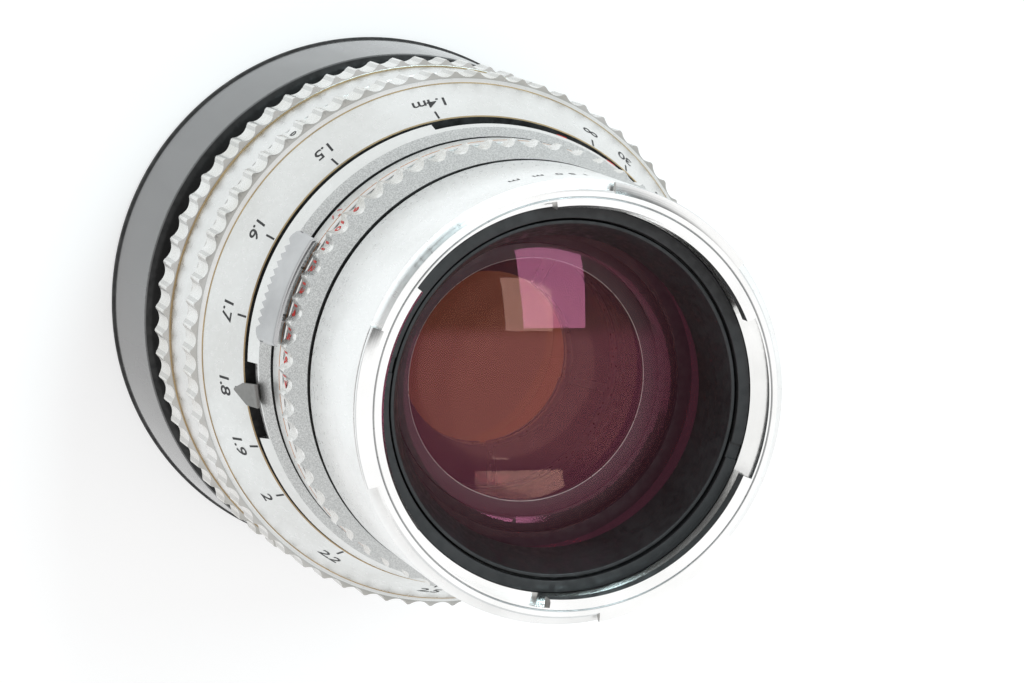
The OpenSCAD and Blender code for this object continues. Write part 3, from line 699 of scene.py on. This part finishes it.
def radial_turned(name, profile, z, a, mat, body, segments=48, **more):
    """A small turned part whose own axis points outwards. profile: (radius, distance out)."""
    prof = rounded(profile, 0.08)
    t = math.radians(INDEX + a)
    out = Vector((math.cos(t), math.sin(t), 0))
    side = Vector((-math.sin(t), math.cos(t), 0))
    up = Vector((0, 0, 1))
    verts, faces = [], []
    m = len(prof)
    for i in range(segments):
        q = 2 * math.pi * i / segments
        d = side * math.cos(q) + up * math.sin(q)
        for r, x in prof:
            v = out * x + d * r + up * z
            verts.append(tuple(v))
    for i in range(segments):
        j = (i + 1) % segments
        for k in range(m):
            p = (k + 1) % m
            faces.append((i * m + k, i * m + p, j * m + p, j * m + k))
    return finish_mesh(name, verts, faces, mat, body, **more)


SOCKET = -121.0
SOCKET_Z = 61.15
radial_turned("socket_boss", [(0, 31.2), (2.3, 31.2), (2.3, 33.8), (0, 33.8)], SOCKET_Z, SOCKET,
              fine_satin, "carriage", slot="scale_ring")
radial_turned("socket_shell", [(0, 33.8), (1.9, 33.8), (1.9, 37), (1.45, 37), (1.45, 34), (0, 34)],
              SOCKET_Z, SOCKET, polished, "carriage", slot="polished_chrome", replaces=["flash_socket"])
radial_turned("socket_core", [(0.42, 34), (1.42, 34), (1.42, 34.9), (0.42, 34.9)], SOCKET_Z, SOCKET,
              white_plastic, "carriage", slot="insulator", replaces=["flash_insulator"])
radial_turned("socket_pin", [(0, 34), (0.4, 34), (0.4, 36.1), (0, 36.2)], SOCKET_Z, SOCKET, brass,
              "carriage", slot="brass", replaces=["flash_pin"])


# grub screws at the bottom of a scoop of the front grip
GRUB = [(0, 36.3), (0.74, 36.3), (0.74, 37.12), (0.34, 37.12), (0.34, 36.8), (0, 36.8)]
for k in range(3):
    radial_turned(f"grub_screw_{k + 1}", GRUB, 45.2, 66.0 + 120 * k, black_metal, "focus_ring",
                  segments=24, slot="steel", replaces=["grip_screws"])


# ---- aperture ring --------------------------------------------------------------

turned("aperture_band", [(27.47, 63.82), (28.9, 63.82), (28.9, 64.9), (30.4, 64.9), (30.4, 69.1),
                         (30.2, 69.3), (27.47, 69.3)],
       fine_satin, "aperture_ring", radius=0.07, slot="scale_ring", replaces=["aperture_ring"],
       # Painted shade: the band's rear face, in the gap behind it, is black.
       paint=[(gap_shade_black, lambda r, z, nr, nz: nz < -0.8),
              (grey_face, lambda r, z, nr, nz: nz > 0.8)])
turned("aperture_orange", [(30.2, 68.15), (30.43, 68.15), (30.43, 68.32), (30.2, 68.32)],
       orange, "aperture_ring", radius=0.02, slot="scale_ring")

# red pointer on the aperture ring
pointer_bars = [moved(bar(0.2, 1.4), -0.45, 0.0, 0.32), moved(bar(0.2, 1.4), 0.45, 0.0, -0.32),
                moved(bar(0.4, 0.4), 0.0, 2.0)]
on_surface("aperture_pointer", pointer_bars,
           band_place(30.4, 75.0, 65.6), red, "aperture_ring")

TAB = 97.5
TAB_HALF = 14.0
TAB_TOOTH = 2.0         # degrees from one tooth of the tab's rear edge to the next
TAB_SLOPE = 1.25 / 4.8  # fall of the tab's outer face towards the front
TAB_STEPS = 224
tab_cols = []
for k in range(TAB_STEPS + 1):
    off = -TAB_HALF + 2 * TAB_HALF * k / TAB_STEPS
    side = (TAB_HALF - abs(off)) / 3.0          # 0 at each end, 1 once clear of the rounded corner
    corner = 1.9 * (1 - math.sqrt(max(0.0, 1 - (1 - min(1.0, side)) ** 2)))
    saw = abs((off / TAB_TOOTH + 0.5) % 1.0 - 0.5) * 2
    notch = (1 - saw) if side > 1 else 0.0
    z0 = 63.6 + corner + 0.95 * notch
    grow = 0.25 * max(0.0, 1 - side * 4)
    tab_cols.append((TAB + off, [
        (31.1, z0), (32.75 - grow - 0.6 * notch, z0),
        (33.0 - grow - TAB_SLOPE * (z0 - 63.35), z0 + 0.25),
        (31.75 - grow, 68.4), (31.6 - grow, 68.75), (31.35 - grow, 68.95), (31.1, 69.0)]))
columns("thumb_tab", tab_cols, tab_satin, "ev_tab", wrap=False, slot="polished_chrome",
        replaces=["ev_tab"])
for k, y in enumerate((-4, 4)):
    t = math.degrees(math.asin(y / 30.0))
    radial_turned(f"tab_post_{k + 1}", [(0, 28.4), (0.85, 28.4), (0.85, 31.2), (0, 31.2)], 67,
                  TAB + t, steel, "ev_tab", segments=24, slot="polished_chrome")


# ---- shutter speed ring -----------------------------------------------------------

SPEED_RIDGE = 98.6
SPEED_COUNT = 60
SPEED_CREST_R = 30.9
SPEED_DEPTH = 0.8
scooped("speed_flutes", [(69.5, 30.3), (69.62, 30.8), (69.8, SPEED_CREST_R), (72.1, SPEED_CREST_R),
                         (72.3, 30.82), (77.0, 28.84), (77.1, 28.7)],
        27.47, SPEED_CREST_R, SPEED_COUNT, SPEED_DEPTH, SPEED_RIDGE, satin, "speed_ring",
        slot="satin_ring", replaces=["shutter_speed_ring"],
        # Painted shade: the ring's end faces, its inner walls and its last edge before the barrel are black.
        paint=[(gap_shade_black, lambda r, z, nr, nz: abs(nz) > 0.85 or nr < -0.2 or z > 77.0),
               (grey_face, lambda r, z, nr, nz: z > 72.2 and nz > 0.2)])


def scoop_place(centre):
    """Lays x along the bottom of a scoop of the speed ring and y towards the front."""
    bottom = SPEED_CREST_R - SPEED_DEPTH
    bend = scoop_radius(SPEED_CREST_R, SPEED_COUNT, SPEED_DEPTH)
    mid = bottom + bend

    def place(x, y, lift):
        off = x / bottom
        r = mid * math.cos(off) - math.sqrt(bend * bend - (mid * math.sin(off)) ** 2)
        return polar(r + lift, centre + math.degrees(off), 69.7 + y)
    return place


# exposure values in the scoops
for k in range(9):
    on_surface(f"exposure_{k + 1}", [moved(glyph(str(9 + k), 1.45, bold=0.04), 0.0, 0.3)],
               scoop_place(71.6 + 360 / SPEED_COUNT * k), red, "speed_ring")


# ---- front barrel and rim ------------------------------------------------------------

BARREL_R = 28.8
turned("barrel_sleeve", [
    (27.42, 78.3), (BARREL_R, 78.3), (BARREL_R, 99.5), (26.9, 99.5), (26.9, 96.2), (26.2, 96.2),
    (26.2, 80), (27.42, 80)],
    barrel_satin, "carriage", segments=360, slot="scale_ring", replaces=["front_barrel"],
    # Painted shade: the sleeve's rear face, in the gap over the speed ring, is black.
    paint=[(gap_shade_black, lambda r, z, nr, nz: nz < -0.8)])

# focal length along the barrel
FOCAL_MARKS = [("1", 22.0), ("5", 25.5), ("0", 29.0), ("m", 34.5), ("m", 41.0)]
for k, (text, a) in enumerate(FOCAL_MARKS):
    on_surface(f"focal_mark_{k + 1}", [moved(glyph(text, 1.5, bold=0.02), 0.0, -0.75)],
               band_place(BARREL_R, a, 94.5), ink, "carriage")


RIM_R = 27.65
FILTER_SLOT, FILTER_SLOT_SWEEP = 58, 47     # middle of the first entry slot, and its width
HOOD_LUG, HOOD_LUG_SWEEP = -3, 42           # middle of the first lug, and its width


def rim():
    """Front rim: inner filter bayonet with entry slots, outer hood lugs."""
    def prof(slot, lug):
        inner = 26.3 if slot else 25.25
        lead = 26.3 if slot else 25.6
        out = [(25.15, 96.25), (26.85, 96.25), (26.85, 99.5), (RIM_R, 99.5), (RIM_R, 100.05)]
        if lug:
            out += [(28.7, 100.05), (BARREL_R, 100.15), (BARREL_R, 100.55), (28.7, 100.7),
                    (27.75, 101.25)]
        else:
            out += [(RIM_R, z) for z in (100.1, 100.2, 100.6, 100.8, 101.1)]
        out += [(27.4, 101.4), (26.78, 101.4), (26.65, 101.28), (26.52, 101.4)]
        out += [(lead, 101.4), (inner, 101.05), (inner, 99.2), (26.3, 99.2),
                (26.3, 97.55), (25.15, 97.55)]
        return out

    def thirds(middle, sweep):
        return [((middle + 120 * i - sweep / 2) % 360, (middle + 120 * i + sweep / 2) % 360)
                for i in range(3)]

    def within(a, spans):
        return any((a - s) % 360 < (e - s) % 360 for s, e in spans)

    slots = thirds(FILTER_SLOT, FILTER_SLOT_SWEEP)
    lugs = thirds(HOOD_LUG, HOOD_LUG_SWEEP)
    marks = [m for pair in slots + lugs for m in pair]
    cols = []
    step = 0.0
    while step < 360:
        if all(abs(step - m) > 0.2 for m in marks):
            cols.append((step, prof(within(step, slots), within(step, lugs))))
        step += 0.9
    for m in marks:
        for a in (m - 0.02, m + 0.02):
            cols.append((a, prof(within(a % 360, slots), within(a % 360, lugs))))
    cols.sort(key=lambda c: c[0])
    columns("front_rim", cols, polished, "carriage", sharp=20, slot="polished_chrome",
            replaces=["filter_bayonet"],
            paint=[(steel, lambda r, z, nr, nz: 26.5 < r < 26.8 and z > 101.2),
                   (worn_edge, lambda r, z, nr, nz: abs(nr) < 0.3 and abs(nz) < 0.3)])


rim()

full_ring = [(23.5, 96.2), (25.1, 96.2), (25.1, 97.4), (25.0, 97.5), (23.6, 97.5), (23.5, 97.4)]
notch_ring = [(23.5, 96.2), (25.1, 96.2), (25.1, 97.05), (25.0, 97.1), (23.6, 97.1), (23.5, 97.05)]
gapped("front_ring", full_ring, notch_ring, [(102.5, 107.5), (277.5, 282.5)], black_ring_mat,
       "carriage", radius=0.04, slot="black_cell", replaces=["front_name_ring"])
turned("glass_retainer", [(20.5, 90.7), (23.2, 90.7), (23.2, 97.0), (22.75, 97.0)],
       black_ring_mat, "carriage", slot="black_cell", replaces=["front_glass_retainer"])
turned("front_cell_tube", [
    (19.6, 84.6), (26.1, 84.6), (26.1, 96.15), (23.3, 96.15), (23.3, 90), (21.5, 90),
    (21.5, 85.3), (19.6, 85.3)], cell_black, "carriage", slot="black_cell", replaces=["front_cell"])


# ---- glass ----------------------------------------------------------------------------

def element(name, r, z_front, curve_front, z_rear, curve_rear, mat, slot, old):
    """A glass element. A positive curve bulges out of the glass, a negative one is hollow.
    Where two elements are cemented, each stops short of the other by a hair."""
    def sag(x, c):
        return 0.0 if c == 0 else math.copysign(abs(c) - math.sqrt(c * c - x * x), c)

    steps = 28
    front = [(r * i / steps, z_front - sag(r * i / steps, curve_front)) for i in range(steps + 1)]
    rear = [(r * i / steps, z_rear + sag(r * i / steps, curve_rear)) for i in range(steps, -1, -1)]
    cols = [(360.0 * i / 144, front + rear) for i in range(144)]
    return columns(name, cols, mat, "carriage", slot=slot, replaces=[old],
                   paint=[(glass_back_mat, lambda radius, z, nr, nz: nz < 0)])


element("front_glass", 21.4, 94.5, 55, 84.6, 250, front_glass_mat, "coated_glass", "front_element")
element("second_glass", 18.2, 83.2, 42, 75.56, 70, inner_glass_mat, "clear_glass", "second_element")
element("third_glass", 18.2, 75.44, -70, 72.45, 0, inner_glass_mat, "clear_glass", "third_element")
element("fourth_glass", 16.5, 47.8, -45, 45.56, -40, rear_glass_mat, "clear_glass", "fourth_element")
element("fifth_glass", 16.5, 45.44, 40, 37.2, 90, rear_glass_mat, "clear_glass", "fifth_element")

turned("middle_cell_tube", [
    (17, 69.5), (25.95, 69.5), (25.95, 71.3), (20.5, 71.3), (20.5, 81), (18.3, 81), (18.3, 72.4),
    (17, 72.4)], cell_black, "carriage", slot="black_cell", replaces=["middle_cell"])
turned("middle_ring", [(16.2, 80.1), (18.25, 80.1), (18.25, 81.0), (16.2, 81.0)], black_ring_mat,
       "carriage", radius=0.08, slot="black_cell", replaces=["middle_retaining_ring"],
       paint=[(steel, lambda r, z, nr, nz: r < 16.3 and z > 80.9)])


# ---- CAD nodes that show as they are ----------------------------------------------------

NODE_LOOKS = {
    "bayonet_flange": satin, "flange_screws": steel, "rear_baffle": cell_black,
    "cocking_bush": brass, "cocking_shaft": steel, "helicoid_keys": brass,
    "focus_carrier": black_metal, "focus_sleeve": black_metal,
    "stop_down_ring": steel, "aperture_link": steel, "aperture_drive_ring": steel,
    "shutter_housing": black_metal, "housing_cover": black_metal, "blade_partition": steel,
    "shutter_drive_ring": steel, "rear_cell": cell_black,
    "rear_retaining_ring": black_ring_mat,
}
for i in range(1, 6):
    NODE_LOOKS[f"shutter_blade_{i}"] = blued
    NODE_LOOKS[f"iris_blade_{i}"] = blued
for node, look in NODE_LOOKS.items():
    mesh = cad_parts[node].data
    mesh.materials.clear()
    mesh.materials.append(look)


# ---- floor, light ------------------------------------------------------------------------

def make_floor():
    """Pale sweep: it glows a little, so that it stays white under the lens, and falls off outside."""
    s = Shader("floor_white")
    s.set(Roughness=0.6, Specular_IOR_Level=0.2)
    cloud = s.noise(3.0, 2.0)
    col = s.ramp(cloud, "Fac", [(0.3, (0.47, 0.47, 0.47)), (0.7, (0.49, 0.49, 0.49))])
    s.link(col, "Color", s.bsdf, "Base Color")
    s.set(Emission_Color=(1, 1, 1, 1))
    fall = s.node("ShaderNodeMapRange")
    fall.inputs["From Min"].default_value = 0.15
    fall.inputs["From Max"].default_value = 0.26
    fall.inputs["To Min"].default_value = 0.57
    fall.inputs["To Max"].default_value = 0.22
    s.link(s.radius(), "Value", fall, "Value")
    s.link(fall, "Result", s.bsdf, "Emission Strength")
    mesh = bpy.data.meshes.new("floor")
    half = 3.0      # metres from the axis to each edge
    corners = [(-half, -half, 0), (half, -half, 0), (half, half, 0), (-half, half, 0)]
    mesh.from_pydata(corners, [], [(0, 1, 2, 3)])
    mesh.materials.append(s.mat)
    floor = bpy.data.objects.new("floor", mesh)
    bpy.context.scene.collection.objects.link(floor)


make_floor()


def area(name, place, target, up, size, power, colour):
    """A soft box that faces the target with its upper edge level with up."""
    data = bpy.data.lights.new(name, "AREA")
    data.shape = "RECTANGLE"
    data.size, data.size_y = size
    data.energy = power
    data.color = colour
    ob = bpy.data.objects.new(name, data)
    bpy.context.scene.collection.objects.link(ob)
    back = (place - target).normalized()
    across = up.cross(back).normalized()
    turn = Matrix((across, back.cross(across), back)).transposed().to_4x4()
    turn.translation = place
    ob.matrix_world = turn


def make_world():
    """A bright studio with one dim quarter overhead, which has soft edges."""
    world = bpy.data.worlds.new("studio")
    bpy.context.scene.world = world
    world.use_nodes = True
    tree = world.node_tree
    coords = tree.nodes.new("ShaderNodeTexCoord")

    def side(direction, low, high):
        dot = tree.nodes.new("ShaderNodeVectorMath")
        dot.operation = "DOT_PRODUCT"
        dot.inputs[1].default_value = direction
        step = tree.nodes.new("ShaderNodeMapRange")
        step.interpolation_type = "SMOOTHSTEP"
        step.inputs["From Min"].default_value = low
        step.inputs["From Max"].default_value = high
        tree.links.new(coords.outputs["Generated"], dot.inputs[0])
        tree.links.new(dot.outputs["Value"], step.inputs["Value"])
        return step

    both = tree.nodes.new("ShaderNodeMath")
    both.operation = "MULTIPLY"
    tree.links.new(side((0.44, -0.89, -0.15), -0.05, 0.06).outputs["Result"], both.inputs[0])
    tree.links.new(side((0, 0, 1), 0.45, 0.62).outputs["Result"], both.inputs[1])
    level = tree.nodes.new("ShaderNodeMapRange")
    level.inputs["To Min"].default_value = 1.1
    level.inputs["To Max"].default_value = 0.16
    tree.links.new(both.outputs["Value"], level.inputs["Value"])
    back = tree.nodes["Background"]
    back.inputs["Color"].default_value = (1, 1, 1, 1)
    tree.links.new(level.outputs["Result"], back.inputs["Strength"])


make_world()


def photo_light(name, right, up, back, distance, size, power, colour=(1, 1, 1)):
    """A soft box placed by amounts of the camera's own directions."""
    m = bpy.context.scene.camera.matrix_world.to_3x3()
    target = Vector((0, 0, 60)) * MM
    d = m.col[0] * right + m.col[1] * up + m.col[2] * back
    area(name, target + d.normalized() * distance, target, m.col[1], size, power, colour)


photo_light("window", 0.54, 0.33, 0.80, 1.5, (0.5, 0.95), 12, (0.75, 0.95, 1.0))

bpy.context.scene.view_settings.view_transform = "Standard"
